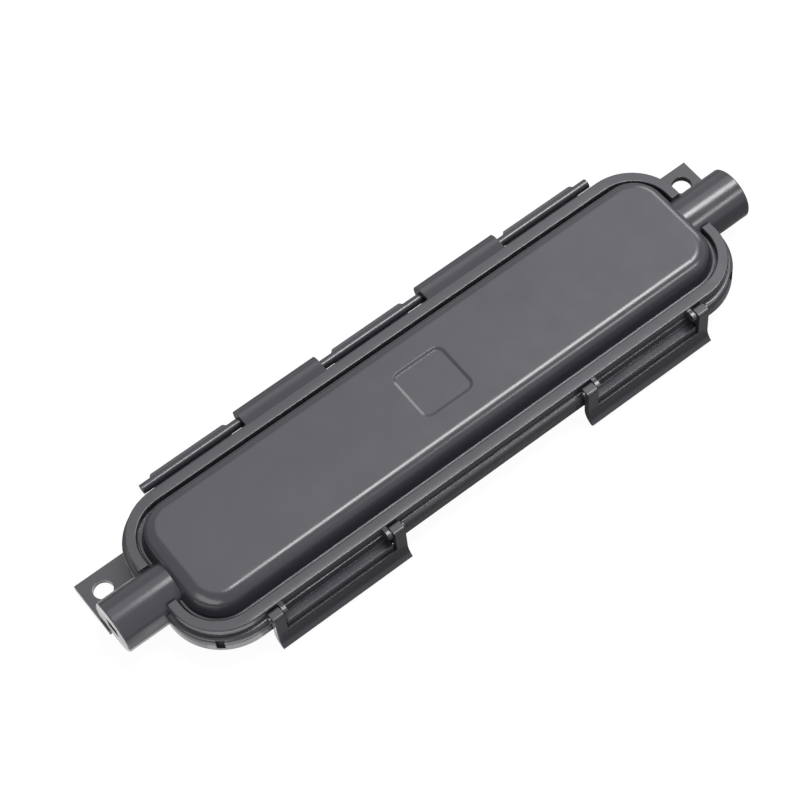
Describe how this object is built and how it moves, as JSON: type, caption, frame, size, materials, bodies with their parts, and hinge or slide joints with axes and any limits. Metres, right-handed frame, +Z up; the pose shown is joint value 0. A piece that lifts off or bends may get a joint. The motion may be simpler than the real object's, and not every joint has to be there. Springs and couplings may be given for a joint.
{
  "type": "fibre connector protection box",
  "caption": "Long rounded plastic enclosure with a hinged domed lid, snap latches, cable bosses at the ends and screw ears, protecting a coupled fibre connector on a drop cable.",
  "frame": {"origin": "on the flat underside of the base, midway between the two cable bosses and the two long sides of the rim", "axes": "+X along the cable, +Y towards the hinge and the screw ears, -Y towards the latches, +Z up through the lid"},
  "size_m": [0.2148, 0.0626, 0.021],
  "materials": {
    "shell_plastic": "fine satin moulded ABS, charcoal",
    "latch_plastic": "satin moulded plastic, charcoal",
    "seal_rubber": "soft black rubber",
    "clamp_plastic": "satin moulded plastic, charcoal",
    "screw_steel": "zinc-plated steel",
    "adapter_plastic": "green moulded plastic",
    "hook_plastic": "natural white plastic",
    "sleeve_ceramic": "polished white ceramic",
    "cap_plastic": "soft translucent white plastic"
  },
  "bodies": {
    "base": {"base_shell": "shell_plastic", "gasket_front": "seal_rubber", "gasket_rear": "seal_rubber", "end_seal_left_lower": "seal_rubber", "end_seal_right_lower": "seal_rubber", "cable_clamp_left": "clamp_plastic", "cable_clamp_right": "clamp_plastic", "clamp_screws_left": "screw_steel", "clamp_screws_right": "screw_steel", "adapter_half_left": "adapter_plastic", "adapter_half_right": "adapter_plastic", "adapter_hook_left": "hook_plastic", "adapter_hook_right": "hook_plastic", "adapter_sleeve": "sleeve_ceramic", "dust_cap_left": "cap_plastic", "dust_cap_right": "cap_plastic"},
    "lid": {"lid_shell": "shell_plastic", "end_seal_left_upper": "seal_rubber", "end_seal_right_upper": "seal_rubber"},
    "latch_left": {"latch_left": "latch_plastic"},
    "latch_right": {"latch_right": "latch_plastic"}
  },
  "joints": [
    {"name": "lid_hinge", "type": "hinge", "parent": "base", "child": "lid", "pos_m": [0, 0.0294, 0.0092], "axis": [-1, 0, 0], "range_deg": [0, 165]},
    {"name": "latch_left_pivot", "type": "hinge", "parent": "lid", "child": "latch_left", "pos_m": [-0.05265, -0.0263, 0.0144], "axis": [-1, 0, 0], "range_deg": [0, 85]},
    {"name": "latch_right_pivot", "type": "hinge", "parent": "lid", "child": "latch_right", "pos_m": [0.05265, -0.0263, 0.0144], "axis": [-1, 0, 0], "range_deg": [0, 85]}
  ]
}
